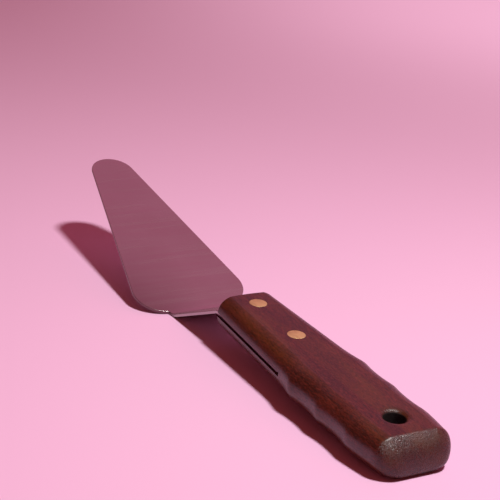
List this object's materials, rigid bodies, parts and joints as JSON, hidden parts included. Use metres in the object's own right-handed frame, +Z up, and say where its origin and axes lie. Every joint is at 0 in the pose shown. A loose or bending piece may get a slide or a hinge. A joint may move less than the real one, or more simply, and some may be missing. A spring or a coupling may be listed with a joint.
{
  "type": "palette knife",
  "caption": "Palette knife with a cranked, tapering steel blade with a round tip and a riveted hardwood handle with finger grips and a hanging hole.",
  "frame": {"origin": "middle of the foot of the bounding box, on the table that the knife rests on with its heel bend and the underside of its butt", "axes": "+X from the butt to the blade's tip, +Y to the left as seen from the butt, +Z up from the table; the handle's axis points 3.3 degrees up"},
  "size_m": [0.2514, 0.05, 0.0366],
  "materials": {
    "steel": "satin, fine grinding lines across the blade",
    "wood": "reddish-brown stained hardwood under satin lacquer",
    "brass": "ground flush with the wood, matt"
  },
  "bodies": {
    "root": {"blade_and_tang": "steel", "handle": "wood", "front_rivet_stud": "brass", "front_rivet_tube": "brass", "rear_rivet_stud": "brass", "rear_rivet_tube": "brass"}
  },
  "joints": []
}
